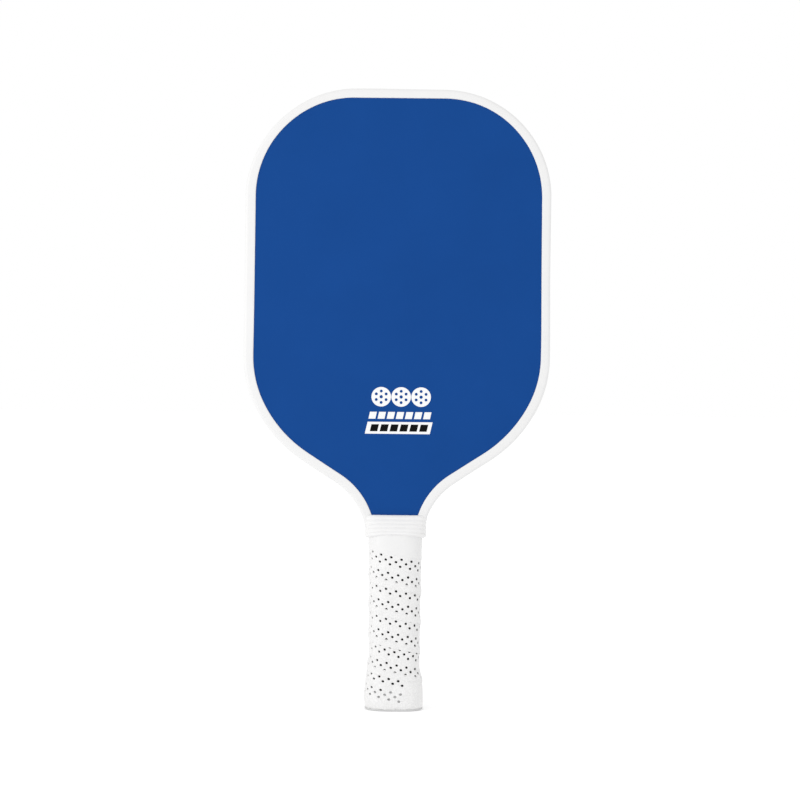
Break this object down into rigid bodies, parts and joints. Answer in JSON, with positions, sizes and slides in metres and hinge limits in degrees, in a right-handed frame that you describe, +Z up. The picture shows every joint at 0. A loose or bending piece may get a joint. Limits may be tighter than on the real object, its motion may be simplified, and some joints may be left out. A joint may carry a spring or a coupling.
{
  "type": "pickleball paddle",
  "caption": "Flat pickleball paddle: honeycomb-cored blade in a U-channel edge guard, short wrapped handle with a flared butt cap and a ribbed collar.",
  "frame": {"origin": "middle of the butt's flat end", "axes": "+Z up the paddle from the butt to the tip, +X across its width, -Y out of the printed front face"},
  "size_m": [0.1994, 0.0346, 0.4064],
  "materials": {
    "core_polypropylene": "translucent natural polypropylene",
    "film_adhesive": "thin cured bonding film",
    "face_blue": "satin blue printed glass-fibre laminate",
    "guard_white": "satin white extruded thermoplastic",
    "shell_foam": "moulded rigid foam",
    "cap_white": "fine moulded satin",
    "staple_steel": "galvanised wire",
    "cushion_black": "matt foam backing",
    "grip_white": "matt perforated polyurethane skin",
    "tape_white": "smooth stretch tape",
    "collar_rubber": "matt moulded rubber"
  },
  "bodies": {
    "root": {"honeycomb_core": "core_polypropylene", "front_adhesive_film": "film_adhesive", "rear_adhesive_film": "film_adhesive", "front_face_sheet": "face_blue", "rear_face_sheet": "face_blue", "edge_guard": "guard_white", "front_handle_shell": "shell_foam", "rear_handle_shell": "shell_foam", "butt_cap": "cap_white", "butt_badge": "cap_white", "front_cap_staple": "staple_steel", "rear_cap_staple": "staple_steel", "grip_cushion": "cushion_black", "grip_tape": "grip_white", "finishing_tape": "tape_white", "grip_collar": "collar_rubber"}
  },
  "joints": []
}
